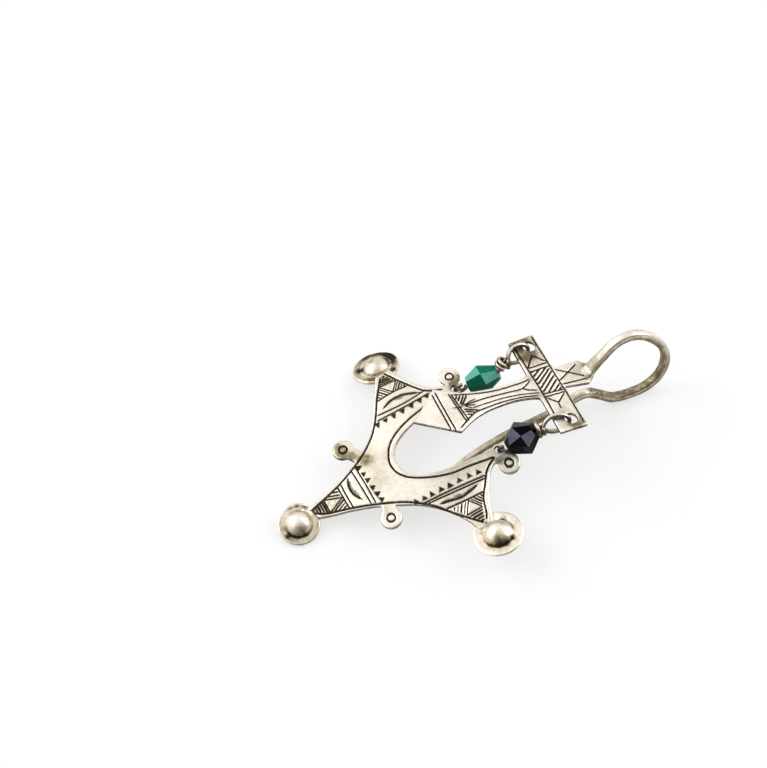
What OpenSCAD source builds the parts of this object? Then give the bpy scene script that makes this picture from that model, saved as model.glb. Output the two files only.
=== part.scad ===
// One hook earring of engraved sheet silver with two glass beads, lying on a surface.

/* [Pendant plate] */
// Thickness of the pendant's sheet
sheet_t = 0.7; // [0.5:0.05:0.9]
// Radius of the dome that the pendant is hammered to
dome_r = 110; // [90:1:180]
// How far along its length the top of the dome lies
dome_top = 18; // [16:0.5:20]
// Radius of the pendant's round lugs
lug_r = 1.8; // [1.6:0.05:2]
// Radius of the lug's end that holds a bead wire
eye_lug_r = 1.1; // [1.08:0.01:1.12]
// Radius of the hole for a bead wire
eye_hole_r = 0.62; // [0.6:0.01:0.65]

/* [Bosses] */
// Thickness of the disc round a boss
rim_t = 0.6; // [0.5:0.05:0.8]
// Wall thickness of the hollow domes
dome_wall = 0.55; // [0.4:0.05:0.7]
// Height of the domes over their discs
boss_h = 1.55; // [1.3:0.05:1.8]

/* [Ear hook] */
// Thickness of the hook's sheet
hook_t = 0.7; // [0.6:0.05:1]
// Radius of the holes in the crossbar
bar_hole_r = 1.1; // [1.05:0.01:1.15]
// How much of its square section the hook wire's rounded corners take
corner = 0.3; // [0.2:0.05:0.4]

/* [Beads] */
// Radius of the green bead at its widest
green_r = 2.6; // [2.5:0.05:3]
// Radius of the green bead's flat ends
green_end_r = 1.35; // [1.2:0.05:1.5]
// Radius of the dark bead at its widest
dark_r = 3.15; // [2.9:0.05:3.2]
// Radius of the dark bead's flat ends
dark_end_r = 1.6; // [1.4:0.05:1.8]
// Length of a bead
bead_l = 5.7; // [5.3:0.05:5.7]
// Number of facets round a bead
bead_sides = 8; // [6:1:10]
// Radius of the hole through a bead
bore_r = 0.5; // [0.45:0.01:0.6]

/* [Bead wires] */
// Radius of the wire
wire_r = 0.33; // [0.3:0.01:0.34]
// Radius of the small eye in the pendant's lug
eye_r = 0.95; // [0.94:0.01:0.97]
// Half width of the oval ring in the crossbar
ring_r = 1.5; // [1.45:0.01:1.55]
// Radius of the coil between ring and bead
coil_r = 0.95; // [0.9:0.01:1]

/* [Pose] */
// Height of the pendant's own origin over the surface
pendant_z = 2.36; // [2.3:0.01:2.45]
// Tilt of the pendant about its length and across it
pendant_tilt = [-1.5, -6.8, 0];
// Height of the crossbar over the surface
hook_z = 11.16; // [11:0.01:11.3]
// Tilt and turn of the hook piece
hook_tilt = [-10, 7, -10];

/* [Hidden] */
$fn = 96;
// Middle of the whole earring's outline from the pendant's origin
middle = [32.92, -0.55, 0];
silver = [0.78, 0.75, 0.68];
// Widths of the necks under the side lugs and the horn lugs
neck_w = 2.2;
horn_neck_w = 1.9;
// Height of the block that the domed sheet is cut from
block_h = 24;
// From a lug's hole to the middle of the eye in it, and the ring's play in the crossbar's hole
eye_offset = 1;
ring_slack = 0.25;
// First gap and pitch of the coil round the wire's stem
coil_gap = 0.2;
coil_pitch = 0.72;
// Half length of each wire's ring, and the turns of its coil
ring_long = [2.1, 2.3];
coil_turns = [2, 1.25];
// Play between a bead and the eye on its wire
bead_play = 0.07;
// Way of each wire through its bead, from its ring's centre to the crossbar's hole,
// and the way that the ring faces
stems = [[0.875, -0.28, 0.395], [0.64, -0.25, 0.715]];
pulls = [[0.99, -0.03, 0.07], [0.93, -0.32, 0.14]];
faces = [[-0.1, -0.83, 0.52], [-0.37, -0.79, 0.47]];
// Turn of each bead round its own axis
bead_turn = [6.9, 21.5];
bead_r = [green_r, dark_r];
bead_end_r = [green_end_r, dark_end_r];
// The crossbar's centre from the pendant's origin, in plan
hook_at = [46.6, -3.4];

// Turns a point as rotate() does, and places it in the pendant's or the hook's frame
function spun(p, a, i, j) = let (c = cos(a), s = sin(a))
    [for (k = [0:2]) k == i ? c * p[i] - s * p[j] : k == j ? s * p[i] + c * p[j] : p[k]];
function turned(p, r) = spun(spun(spun(p, r[0], 1, 2), r[1], 2, 0), r[2], 0, 1);
function unit(v) = v / norm(v);
function dome_z(u, v) = sqrt(dome_r * dome_r - pow(u - dome_top, 2) - v * v) - dome_r;
function on_pendant(u, v) = [0, 0, pendant_z] - middle + turned([u, v, dome_z(u, v)], pendant_tilt);
function on_hook(a, t, n) = [hook_at[0], hook_at[1], hook_z] - middle + turned([a, t, n], hook_tilt);

// A smooth run through hand-set points, k steps to each span
function blend(a, b, c, d, t) = 0.5 * (2 * b + (c - a) * t + (2 * a - 5 * b + 4 * c - d) * t * t
    + (3 * b - a - 3 * c + d) * t * t * t);
function run(p, k) = let (n = len(p) - 1)
    concat([for (i = [0:n - 1], j = [0:k - 1])
        blend(p[max(i - 1, 0)], p[i], p[i + 1], p[min(i + 2, n)], j / k)], [p[n]]);

// Sides of the pendant's star, each from one arm to the next
left_side = [[25, 16.6], [22.5, 12.9], [19.8, 8.8], [17.6, 6.4], [14.1, 4.2], [9.6, 2.6], [6.2, 2], [2.6, 1.6]];
lower_side = [[2.6, -1.1], [5.6, -1.9], [8.6, -3.1], [12.4, -4.9], [15.6, -6.8], [18.6, -8.8],
              [21.5, -11.8], [23.5, -15], [24.4, -17.5]];
near_side = [[27, -17.5], [28.2, -14.5], [30, -11.6], [31.4, -9.8], [32.6, -8.9], [34.6, -8.6]];
notch = [[34.6, -6.4], [30.5, -6.1], [26.6, -5.7], [23.6, -5], [21.4, -4.3], [20, -3.2], [19.3, -1.5],
         [19.4, 0.6], [20.4, 2.4], [22.3, 3.7], [25.5, 4.8], [30, 5.6], [35, 6.1]];
far_side = [[35, 8.2], [32.8, 8.7], [31.6, 9.4], [30.4, 10.9], [29, 13.1], [27.8, 16.6]];

// Lugs: the two stamped ones on the edge, as eye, neck and radius of eye
side_lugs = [[[13.1, 7.3], [14.9, 4]], [[13.3, -7.9], [14.3, -5]]];
// The two horn lugs, as stamped eye and bead wire's eye
horn_lugs = [[[35.6, 9.6], [35.05, 6.95]], [[35.1, -9.7], [34.8, -7]]];

// Bosses, one row for each: centre, way that the disc faces, disc radius, dome radius
bosses = [
    [[0.15, 0.25, -1.2], [-0.01, -0.235, 0.97], 3.6, 2.35],
    [[26.4, 19.05, -3], [0.07, 0.39, 0.92], 4.15, 2.75],
    [[26.3, -19.75, -1.15], [0, 0.145, 0.99], 4.2, 2.75]];

// Hook plate: half outlines with the sharp-cornered diamond at the left
plate_top = [[-18.8, 5.15], [-16.2, 3.7], [-13.9, 2.65], [-9.8, 2.1], [-5.6, 1.9], [-3.6, 2.3], [-2.2, 3.3]];
plate_foot = [[-2.2, -3.2], [-3.6, -2.3], [-7, -1.75], [-11.1, -2.05], [-14.1, -2.8], [-16, -3.7], [-18.1, -4.95]];
crossbar = [[-2.4, 10.5], [2.35, 11.05], [2, -10.5], [-2.95, -10.6]];
tab = [[2, 2.8], [6.9, 3.05], [7.5, 2.3], [8, 1.9], [8.1, -0.9], [6.5, -2.3], [2, -1.7]];
bar_holes = [[0.6, 8.7], [0, -8.4]];

// Hook wire: along, across, up, width, thickness
hook_wire = [
    [6.4, 0.2, 0, 2.5, 0.7],
    [7.6, 0.3, 0.2, 2.5, 0.9],
    [8.4, 0.3, 1.2, 2.2, 1.2],
    [9.4, 0.1, 2.9, 1.9, 1.4],
    [11.5, 0, 5.5, 1.7, 1.5],
    [13.9, 0, 6.45, 1.6, 1.5],
    [16.6, 0, 5.95, 1.6, 1.5],
    [19.5, 0, 3.8, 1.6, 1.5],
    [21.7, 0, 0.9, 1.6, 1.5],
    [22.6, 0, -2.4, 1.6, 1.5],
    [22, 0, -5.5, 1.6, 1.5],
    [20.2, 0, -7.5, 1.6, 1.5],
    [17.2, 0, -8.45, 1.6, 1.5],
    [13.6, 0, -8.35, 1.6, 1.5],
    [10.9, 0, -6.8, 1.6, 1.5],
    [8.8, 0, -5.5, 1.6, 1.5],
    [7.1, 0, -5.2, 1.6, 1.5],
    [5.5, 0.1, -6, 1.5, 1.45],
    [3.9, 0.3, -7.35, 1.4, 1.4],
    [1.1, 0.4, -8.7, 1.3, 1.3],
    [-3, 0.5, -9.95, 1.25, 1.2],
    [-7.6, 0.3, -11.25, 1.25, 1.05],
    [-12, -0.3, -12.35, 1.15, 0.85],
    [-14.8, -0.8, -13.05, 0.85, 0.6],
    [-16.6, -1.15, -13.5, 0.25, 0.3]];

// Section of a squarish wire with rounded corners, and of a round one
function square_ring(w, h) = let (k = corner * min(w, h), x = w / 2, y = h / 2)
    [[x, -y + k], [x, y - k], [x - k, y], [-x + k, y], [-x, y - k], [-x, -y + k], [-x + k, -y], [x - k, -y]];
function round_ring(r) = [for (i = [0:5]) r * [cos(60 * i), sin(60 * i)]];

// Skin over sections set square to a path; the side vectors give the way of their width
module sweep(path, side, sections) {
    n = len(path);
    m = len(sections[0]);
    points = [for (i = [0:n - 1])
        let (f = unit(path[min(i + 1, n - 1)] - path[max(i - 1, 0)]),
             s = unit(side[i] - (side[i] * f) * f),
             u = cross(f, s))
        for (q = sections[i]) path[i] + q[0] * s + q[1] * u];
    sides = [for (i = [0:n - 2], j = [0:m - 1], half = [0, 1])
        let (a = i * m + j, b = i * m + (j + 1) % m)
        half == 0 ? [a, b + m, b] : [a, a + m, b + m]];
    ends = [[for (j = [0:m - 1]) j], [for (j = [m - 1:-1:0]) (n - 1) * m + j]];
    polyhedron(points, concat(sides, ends));
}

// A bar from one point to another, as tall as the block that the sheet is cut from
module bar(a, b, w) {
    translate([a[0], a[1], -block_h / 2]) rotate(atan2(b[1] - a[1], b[0] - a[0]))
        translate([0, -w / 2, 0]) cube([norm(b - a), w, block_h]);
}
module peg(a, r) {
    translate([a[0], a[1], -block_h / 2]) cylinder(block_h, r = r);
}

// Turns what stands on the Z axis to face along n
module facing(n) {
    rotate([0, acos(n[2] / norm(n)), atan2(n[1], n[0])]) children();
}

module pendant_block() {
    translate([0, 0, -block_h / 2]) linear_extrude(block_h)
        polygon(concat(run(left_side, 3), run(lower_side, 3), run(near_side, 3), run(notch, 3), run(far_side, 3)));
    for (l = side_lugs) {
        peg(l[0], lug_r);
        bar(l[0], l[1], neck_w);
    }
    for (l = horn_lugs) {
        peg(l[0], lug_r);
        peg(l[1], eye_lug_r);
        bar(l[0], l[1], horn_neck_w);
    }
}

// The star's domed sheet
module pendant_sheet() {
    difference() {
        intersection() {
            pendant_block();
            translate([dome_top, 0, -dome_r]) sphere(dome_r + sheet_t / 2, $fn = 240);
        }
        translate([dome_top, 0, -dome_r]) sphere(dome_r - sheet_t / 2, $fn = 240);
    }
}

// Radius of the ball that a boss's dome is cut from, and how deep its middle lies
function ball_r(foot) = (foot * foot + boss_h * boss_h) / (2 * boss_h);
function ball_z(foot) = rim_t / 2 + boss_h - ball_r(foot);

module pendant_plate() color(silver)
    translate([0, 0, pendant_z] - middle) rotate(pendant_tilt) difference() {
        union() {
            pendant_sheet();
            for (b = bosses) translate(b[0]) facing(b[1]) {
                translate([0, 0, -rim_t / 2]) cylinder(rim_t, r = b[2]);
                intersection() {
                    translate([0, 0, ball_z(b[3])]) sphere(ball_r(b[3]));
                    cylinder(2 * boss_h, r = b[2]);
                }
            }
        }
        for (b = bosses) translate(b[0]) facing(b[1])
            translate([0, 0, ball_z(b[3])]) sphere(ball_r(b[3]) - dome_wall);
        for (l = horn_lugs) translate([l[1][0], l[1][1], -6]) cylinder(8, r = eye_hole_r);
    }

module ear_hook() color(silver)
    translate([hook_at[0], hook_at[1], hook_z] - middle) rotate(hook_tilt) {
        difference() {
            translate([0, 0, -hook_t / 2]) linear_extrude(hook_t) union() {
                polygon(concat(run(plate_top, 3), run(plate_foot, 3), [[-24.5, -0.4]]));
                polygon(crossbar);
                polygon(tab);
            }
            for (h = bar_holes) translate([h[0], h[1], -hook_t]) cylinder(2 * hook_t, r = bar_hole_r);
        }
        rows = run(hook_wire, 3);
        sweep([for (q = rows) [q[0], q[1], q[2]]], [for (q = rows) [0, 1, 0]],
            [for (q = rows) square_ring(q[3], q[4])]);
    }

// The points of a bead wire: its eye on the lug's edge, the bead's middle, the end of its
// straight stem, the ring that hangs in the crossbar's hole, and the knot between the two
function flat(v) = [v[0], v[1], 0];
function stem(i) = unit(stems[i]);
function pull(i) = unit(pulls[i]);
function eye_at(i) = on_pendant(horn_lugs[i][1][0], horn_lugs[i][1][1])
    + eye_offset * unit(flat(stem(i)));
function bead_at(i) = eye_at(i) + (eye_r + wire_r + bead_play + bead_l / 2) * stem(i);
function stem_end(i) = bead_at(i) + (bead_l / 2 + bead_play) * stem(i);
function ring_at(i) = on_hook(bar_holes[i][0], bar_holes[i][1], 0) - (ring_long[i] + ring_slack) * pull(i);
function knot(i) = ring_at(i) - (ring_long[i] + coil_gap) * pull(i);

// A frame of three vectors: along s, across it, and as near to n as is square to s
function frame(s, n) = let (z = unit(n - (n * s) * s)) [s, cross(z, s), z];
function placed(o, f, q) = [o + q[0][0] * f[0] + q[0][1] * f[1] + q[0][2] * f[2],
    q[1][0] * f[0] + q[1][1] * f[1] + q[1][2] * f[2]];

// The coil's path from its free end, the ring's and the eye's, each as point and side vector
function coil_path(i) = [for (k = [8 * coil_turns[i]:-1:0]) let (a = 90 + 45 * k)
    [[-coil_pitch * k / 8, coil_r * cos(a), coil_r * sin(a)], [1, 0, 0]]];
function ring_path(i) = [for (a = [15:15:345]) let (b = min(90, 1.2 * a))
    [[-ring_long[i] * cos(a), ring_r * sin(a), coil_r * max(0, 1 - a / 75)], [cos(b), 0, sin(b)]]];
eye_path = concat(
    [[[eye_r + 0.5, 0, 0], [0, 0, 1]], [[eye_r + 0.08, -0.06, 0], [0, 0, 1]]],
    [for (a = [20, 45, 75, 105, 135, 165, 195, 225, 255, 285, 312]) [[eye_r * cos(a), -eye_r * sin(a), 0], [0, 0, 1]]]);

module bead_wire(i) color([0.45, 0.42, 0.36]) {
    ring = frame(pull(i), faces[i]);
    coil = frame(unit(knot(i) - stem_end(i)), faces[i]);
    eye = frame(stem(i), cross(stem(i), [0, 0, 1]));
    path = concat([for (q = coil_path(i)) placed(knot(i), coil, q)],
        [for (q = ring_path(i)) placed(ring_at(i), ring, q)],
        [placed(knot(i), coil, [[0, 0, 0], [0, 0, 1]]), placed(stem_end(i), eye, [[0, 0, 0], [0, 0, 1]])],
        [for (q = eye_path) placed(eye_at(i), eye, q)]);
    sweep([for (q = path) q[0]], [for (q = path) q[1]], [for (q = path) round_ring(wire_r)]);
}

module bead(i) {
    translate(bead_at(i)) facing(stem(i)) rotate(bead_turn[i]) difference() {
        union() {
            cylinder(bead_l / 2, r1 = bead_r[i], r2 = bead_end_r[i], $fn = bead_sides);
            mirror([0, 0, 1]) cylinder(bead_l / 2, r1 = bead_r[i], r2 = bead_end_r[i], $fn = bead_sides);
        }
        translate([0, 0, -bead_l]) cylinder(2 * bead_l, r = bore_r);
    }
}

module green_bead() color([0, 0.42, 0.3]) bead(0);
module dark_bead() color([0.1, 0.09, 0.14]) bead(1);
module green_bead_wire() bead_wire(0);
module dark_bead_wire() bead_wire(1);

ear_hook();
pendant_plate();
green_bead();
dark_bead();
green_bead_wire();
dark_bead_wire();
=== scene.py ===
import math

import bmesh
import bpy
import numpy as np
from mathutils import Matrix, Vector, kdtree, noise
from mathutils.geometry import delaunay_2d_cdt


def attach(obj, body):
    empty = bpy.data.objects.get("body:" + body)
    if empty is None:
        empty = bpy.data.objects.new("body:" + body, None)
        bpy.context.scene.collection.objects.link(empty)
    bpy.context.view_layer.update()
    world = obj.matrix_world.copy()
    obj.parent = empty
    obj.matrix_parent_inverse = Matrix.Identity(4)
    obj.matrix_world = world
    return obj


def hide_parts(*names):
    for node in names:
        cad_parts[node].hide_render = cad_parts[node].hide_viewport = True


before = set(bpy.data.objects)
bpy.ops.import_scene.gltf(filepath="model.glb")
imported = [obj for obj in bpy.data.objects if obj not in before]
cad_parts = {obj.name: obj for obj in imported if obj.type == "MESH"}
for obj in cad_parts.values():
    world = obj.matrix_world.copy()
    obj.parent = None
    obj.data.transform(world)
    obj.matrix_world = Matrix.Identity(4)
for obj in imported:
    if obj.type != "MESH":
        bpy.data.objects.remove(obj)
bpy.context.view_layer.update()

MM = 0.001

# Places: the pendant's and the hook piece's own frames, in millimetres
MIDDLE = np.array([32.92, -0.55, 0.0])


def turn(tilt):
    x, y, z = [math.radians(angle) for angle in tilt]
    about_x = np.array([[1, 0, 0], [0, math.cos(x), -math.sin(x)], [0, math.sin(x), math.cos(x)]])
    about_y = np.array([[math.cos(y), 0, math.sin(y)], [0, 1, 0], [-math.sin(y), 0, math.cos(y)]])
    about_z = np.array([[math.cos(z), -math.sin(z), 0], [math.sin(z), math.cos(z), 0], [0, 0, 1]])
    return about_z @ about_y @ about_x


PENDANT = (np.array([0.0, 0.0, 2.36]) - MIDDLE, turn((-1.5, -6.8, 0)))
HOOK = (np.array([46.6, -3.4, 11.16]) - MIDDLE, turn((-10, 7, -10)))
DOME_R, DOME_TOP = 110.0, 18.0
SHEET_T = 0.7

# The camera's side of the part, which the beads' facets are set out from too
CAMERA_ROUND, CAMERA_RISE = math.radians(31.5), math.radians(59)
TO_CAMERA = np.array([-math.cos(CAMERA_RISE) * math.sin(CAMERA_ROUND),
                      -math.cos(CAMERA_RISE) * math.cos(CAMERA_ROUND), math.sin(CAMERA_RISE)])


def placed(place, points):
    return place[0] + np.asarray(points, float) @ place[1].T


def unit(v):
    v = np.asarray(v, float)
    return v / np.linalg.norm(v)


def dome_z(u, v):
    return np.sqrt(DOME_R ** 2 - (u - DOME_TOP) ** 2 - v ** 2) - DOME_R


# Curves: a smooth run through hand-set points, points at an even spacing, and closed loops
def smooth(points, steps=6):
    p = np.asarray(points, float)
    last = len(p) - 1
    out = []
    for i in range(last):
        a, b, c, d = p[max(i - 1, 0)], p[i], p[i + 1], p[min(i + 2, last)]
        for k in range(steps):
            t = k / steps
            out.append(0.5 * (2 * b + (c - a) * t + (2 * a - 5 * b + 4 * c - d) * t * t
                              + (3 * b - a - 3 * c + d) * t ** 3))
    out.append(p[last])
    return np.array(out)


def even(points, step):
    p = np.asarray(points, float)
    run = np.concatenate([[0], np.cumsum(np.linalg.norm(np.diff(p, axis=0), axis=1))])
    count = max(2, int(round(run[-1] / step)) + 1)
    at = np.linspace(0, run[-1], count)
    return np.stack([np.interp(at, run, p[:, k]) for k in range(p.shape[1])], 1)


def circle(centre, r, count):
    a = np.linspace(0, 2 * math.pi, count + 1)
    return np.stack([centre[0] + r * np.cos(a), centre[1] + r * np.sin(a)], 1)


def bar_loop(a, b, width):
    a, b = np.array(a, float), np.array(b, float)
    along = unit(b - a)
    across = np.array([-along[1], along[0]]) * width / 2
    return np.array([a - across, b - across, b + across, a + across])


def closed(loop):
    return np.vstack([loop, loop[:1]])


def square_to(ways):
    size = np.maximum(np.linalg.norm(ways, axis=1), 1e-9)
    return np.stack([-ways[:, 1], ways[:, 0]], 1) / size[:, None]


# How far flat points are from a line, where along it they fall, and the line's length
def to_line(points, line):
    starts, ways = line[:-1], np.diff(line, axis=0)
    size = np.maximum((ways ** 2).sum(1), 1e-12)
    run = np.concatenate([[0], np.cumsum(np.sqrt(size))])
    best = np.full(len(points), 1e9)
    place = np.zeros(len(points))
    for k in range(len(starts)):
        t = np.clip(((points - starts[k]) @ ways[k]) / size[k], 0, 1)
        gap = np.linalg.norm(points - starts[k] - t[:, None] * ways[k], axis=1)
        near = gap < best
        best[near] = gap[near]
        place[near] = run[k] + t[near] * math.sqrt(size[k])
    return best, place, run[-1]


# Whether flat points lie inside a loop
def within(points, loop):
    x, y = points[:, 0], points[:, 1]
    odd = np.zeros(len(points), bool)
    for (ax, ay), (bx, by) in zip(loop, np.roll(loop, -1, axis=0)):
        cross = (ay > y) != (by > y)
        with np.errstate(divide="ignore", invalid="ignore"):
            odd ^= cross & (x < (bx - ax) * (y - ay) / (by - ay) + ax)
    return odd


# How deep they lie in it, negative outside
def loop_depth(points, loop):
    gap = to_line(points, closed(loop))[0]
    return np.where(within(points, loop), gap, -gap)


# The numbers of the points in and near a shape's box
def in_reach(points, shape, reach):
    low, high = shape.min(0) - reach, shape.max(0) + reach
    return np.where(((points > low) & (points < high)).all(1))[0]


# A mesh that becomes the visible piece of a node
def make_piece(name, mesh, material, node):
    made = bpy.data.objects.new(name, mesh)
    bpy.context.scene.collection.objects.link(made)
    made.data.materials.append(material)
    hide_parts(node)
    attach(made, "root")


# A mesh that grows part by part, with its three painted values for each point
class Body:
    def __init__(self):
        self.points, self.faces, self.paint = [], [], []
        self.count = 0

    # groove and grime carry painted shade too, on the wires' undersides, at the bead eyes and low on the
    # bosses' domes
    def add(self, points, faces, groove_and_shade, grime_and_shade, wear):
        count = len(points)
        self.points.append(np.asarray(points, float))
        self.faces += [tuple(int(i) + self.count for i in face) for face in faces]
        self.paint.append(np.stack([np.broadcast_to(v, count) for v in (groove_and_shade, grime_and_shade, wear)], 1))
        self.count += count

    def piece(self, name, material, node, slot):
        mesh = bpy.data.meshes.new(name)
        mesh.from_pydata((np.concatenate(self.points) * MM).tolist(), [], self.faces)
        mesh.polygons.foreach_set("use_smooth", [True] * len(mesh.polygons))
        paint = np.concatenate(self.paint)
        for k, title in enumerate(("groove_and_shade", "grime_and_shade", "wear")):
            layer = mesh.attributes.new(title, "FLOAT", "POINT")
            layer.data.foreach_set("value", np.clip(paint[:, k], 0, 1).astype(np.float32))
        mesh.update()
        make_piece(name, mesh, material, node)


# Engraved sheet: a flat outline with cut holes, lines and punched triangles
MESH_STEP, LINE_STEP, PUNCH_STEP = 0.19, 0.13, 0.12
EDGE_INSET, MARK_INSET, GRID_INSET = 0.1, 0.09, 0.13
MARK_GAP, GRID_GAP = 0.05, 0.1
LOOP_BLEND = 0.1
EDGE_DROP, EDGE_WIDE = 0.13, 0.24
WORN_WIDE, DARK_RIM_WIDE = 0.3, 0.07
PUNCH_DEPTH = 0.16
LINE_END_WIDTH = 0.45
LINE_REACH, PUNCH_REACH = 1.6, 1.2
HALO_WIDE = 0.45
BACK_GRIME = 0.6


class Sheet:
    def __init__(self, loops, holes):
        self.loops, self.holes = loops, holes
        self.lines, self.punches, self.stains = [], [], []

    def line(self, points, width, depth, taper=0.5, curve=False):
        path = smooth(points) if curve else np.asarray(points, float)
        self.lines.append((path, width / 2, depth, taper))

    def punch(self, at, way, base, height):
        along = unit(way)
        across = np.array([-along[1], along[0]])
        foot = np.array(at, float) - along * height * 0.4
        top = np.array(at, float) + along * height * 0.6
        self.punches.append(np.array([foot - across * base / 2, foot + across * base / 2, top]))

    def rim(self, points):
        total = np.zeros(len(points))
        for loop in self.loops:
            total += np.exp(np.clip(loop_depth(points, loop) / LOOP_BLEND, -40, 60))
        depth = LOOP_BLEND * np.log(total + 1e-30)
        for centre, r in self.holes:
            depth = np.minimum(depth, np.linalg.norm(points - centre, axis=1) - r)
        return depth

    # How deep each point is cut, how black it is, and how close to a cut it lies
    def carve(self, points):
        drop, dark, halo = np.zeros((3, len(points)))
        for path, half, depth, taper in self.lines:
            near = in_reach(points, path, LINE_REACH)
            if not len(near):
                continue
            gap, run, length = to_line(points[near], path)
            narrowing = np.clip(LINE_END_WIDTH + np.minimum(run, length - run) / taper, LINE_END_WIDTH, 1)
            cut = np.clip((1.15 - gap / (half * narrowing)) / 0.55, 0, 1)
            drop[near] = np.maximum(drop[near], depth * narrowing * cut)
            dark[near] = np.maximum(dark[near], cut)
            halo[near] = np.maximum(halo[near], np.exp(-gap / HALO_WIDE))
        for corners in self.punches:
            near = in_reach(points, corners, PUNCH_REACH)
            gap = loop_depth(points[near], corners)
            # The punch's dark fill is painted lighter on one side, as painted light on its wall
            lit = np.clip(1 + (points[near, 0] - corners[:, 0].mean()) * 0.5, 0.5, 1)
            drop[near] = np.maximum(drop[near], PUNCH_DEPTH * np.clip(gap / 0.2, 0, 1))
            dark[near] = np.maximum(dark[near], np.clip(0.85 + gap / 0.1, 0, 1) * lit)
            halo[near] = np.maximum(halo[near], np.exp(-np.abs(gap) / HALO_WIDE) * 0.7)
        return drop, dark, halo

    # Points just inside the edge, along the cuts, and in a grid over the rest
    def inner_points(self, edge):
        ring, marks = [], []
        for loop in edge:
            across = square_to(np.roll(loop, -1, axis=0) - np.roll(loop, 1, axis=0))
            ring += [loop + across * EDGE_INSET, loop - across * EDGE_INSET]
        ring = np.vstack(ring)
        depth = self.rim(ring)
        ring = ring[(depth > 0.06) & (depth < 0.14)]
        for path, half, _, _ in self.lines:
            path = even(path, LINE_STEP)
            across = square_to(np.gradient(path, axis=0))
            marks += [path] + [path + across * half * f for f in (0.6, -0.6, 1.15, -1.15)]
        for corners in self.punches:
            outer = even(closed(corners), PUNCH_STEP)
            mid = corners.mean(0)
            marks += [outer, mid + (outer - mid) * 0.6, mid[None]]
        marks = np.vstack(marks)
        marks = marks[self.rim(marks) > MARK_INSET]
        border = np.vstack(edge)
        low, high = border.min(0) - 0.5, border.max(0) + 0.5
        rows = np.arange(low[1], high[1], MESH_STEP * 0.866)
        grid = np.array([[x + (k % 2) * MESH_STEP / 2, y] for k, y in enumerate(rows)
                         for x in np.arange(low[0], high[0], MESH_STEP)])
        grid = grid[self.rim(grid) > GRID_INSET]
        chosen = [tuple(point) for point in ring]
        for group, least in ((marks, MARK_GAP), (grid, GRID_GAP)):
            tree = kdtree.KDTree(len(chosen))
            for k, (x, y) in enumerate(chosen):
                tree.insert((x, y, 0), k)
            tree.balance()
            fresh = {}
            for x, y in group:
                if tree.find((x, y, 0))[2] >= least:
                    fresh[(round(x / least), round(y / least))] = (float(x), float(y))
            chosen += list(fresh.values())
        return chosen

    def triangles(self):
        edge = [even(closed(loop), MESH_STEP)[:-1] for loop in self.loops]
        edge += [circle(centre, r, 36)[:-1] for centre, r in self.holes]
        flat = [Vector(point) for loop in edge for point in loop]
        flat += [Vector(point) for point in self.inner_points(edge)]
        sides, start = [], 0
        for loop in edge:
            count = len(loop)
            sides += [(start + k, start + (k + 1) % count) for k in range(count)]
            start += count
        out = delaunay_2d_cdt(flat, sides, [], 0, 1e-5)
        points = np.array([tuple(point) for point in out[0]])
        faces = np.array([face for face in out[2] if len(face) == 3])
        faces = faces[self.rim(points[faces].mean(1)) > 0]
        used = np.unique(faces)
        renumber = np.full(len(points), -1)
        renumber[used] = np.arange(len(used))
        return points[used], renumber[faces]

    def grow(self, body, place, height):
        points, faces = self.triangles()
        count = len(points)
        depth = np.maximum(self.rim(points), 0)
        drop, dark, halo = self.carve(points)
        z = height(points[:, 0], points[:, 1])
        bevel = EDGE_DROP * np.clip(1 - depth / EDGE_WIDE, 0, 1) ** 2
        top = np.column_stack([points, z + SHEET_T / 2 - drop - bevel])
        foot = np.column_stack([points, z - SHEET_T / 2 + bevel])
        pairs = dict.fromkeys((face[k], face[(k + 1) % 3]) for face in faces for k in range(3))
        walls = [(b, a, a + count, b + count) for a, b in pairs if (b, a) not in pairs]
        skin = [tuple(face) for face in faces] + [tuple(face[::-1] + count) for face in faces]
        wear = np.clip(1 - depth / WORN_WIDE, 0, 1)
        outline = np.clip(1 - depth / DARK_RIM_WIDE, 0, 1) * 0.6
        grime_and_shade = halo * 0.14
        for x, y, r, strength in self.stains:
            grime_and_shade += strength * np.exp(-((points[:, 0] - x) ** 2 + (points[:, 1] - y) ** 2) / r ** 2)
        body.add(placed(place, np.vstack([top, foot])), skin + walls,
                 np.concatenate([np.maximum(dark, outline), outline * 1.2]),
                 np.concatenate([grime_and_shade, np.full(count, BACK_GRIME)]), np.concatenate([wear, wear * 0.5]))


# The pendant's outline, side by side from one arm or horn to the next
left_side = [[25, 16.6], [22.5, 12.9], [19.8, 8.8], [17.6, 6.4], [14.1, 4.2], [9.6, 2.6], [6.2, 2],
             [2.6, 1.6]]
lower_side = [[3.6, -1], [5.6, -1.9], [8.6, -3.1], [12.4, -4.9], [15.6, -6.8], [18.6, -8.8],
              [21.5, -11.8], [23.5, -15], [24.4, -17.5]]
near_side = [[27, -17.5], [28.2, -14.5], [30, -11.6], [31.4, -9.8], [32.6, -8.9], [34.6, -8.6]]
notch = [[34.6, -6.4], [30.5, -6.1], [26.6, -5.7], [23.6, -5], [21.4, -4.3], [20, -3.2], [19.3, -1.5],
         [19.4, 0.6], [20.4, 2.4], [22.3, 3.7], [25.5, 4.8], [30, 5.6], [35, 6.1]]
far_side = [[35, 8.2], [32.8, 8.7], [31.6, 9.4], [30.4, 10.9], [29, 13.1], [27.8, 16.6]]
side_lugs = [[[13.1, 7.3], [14.9, 4]], [[13.3, -7.9], [14.3, -5]]]
horn_lugs = [[[35.6, 9.6], [35.05, 6.95]], [[35.1, -9.7], [34.8, -7]]]
LUG_R, SIDE_NECK, HORN_NECK = 1.8, 2.2, 1.9
EYE_LUG_R, EYE_HOLE_R = 1.1, 0.62

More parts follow.
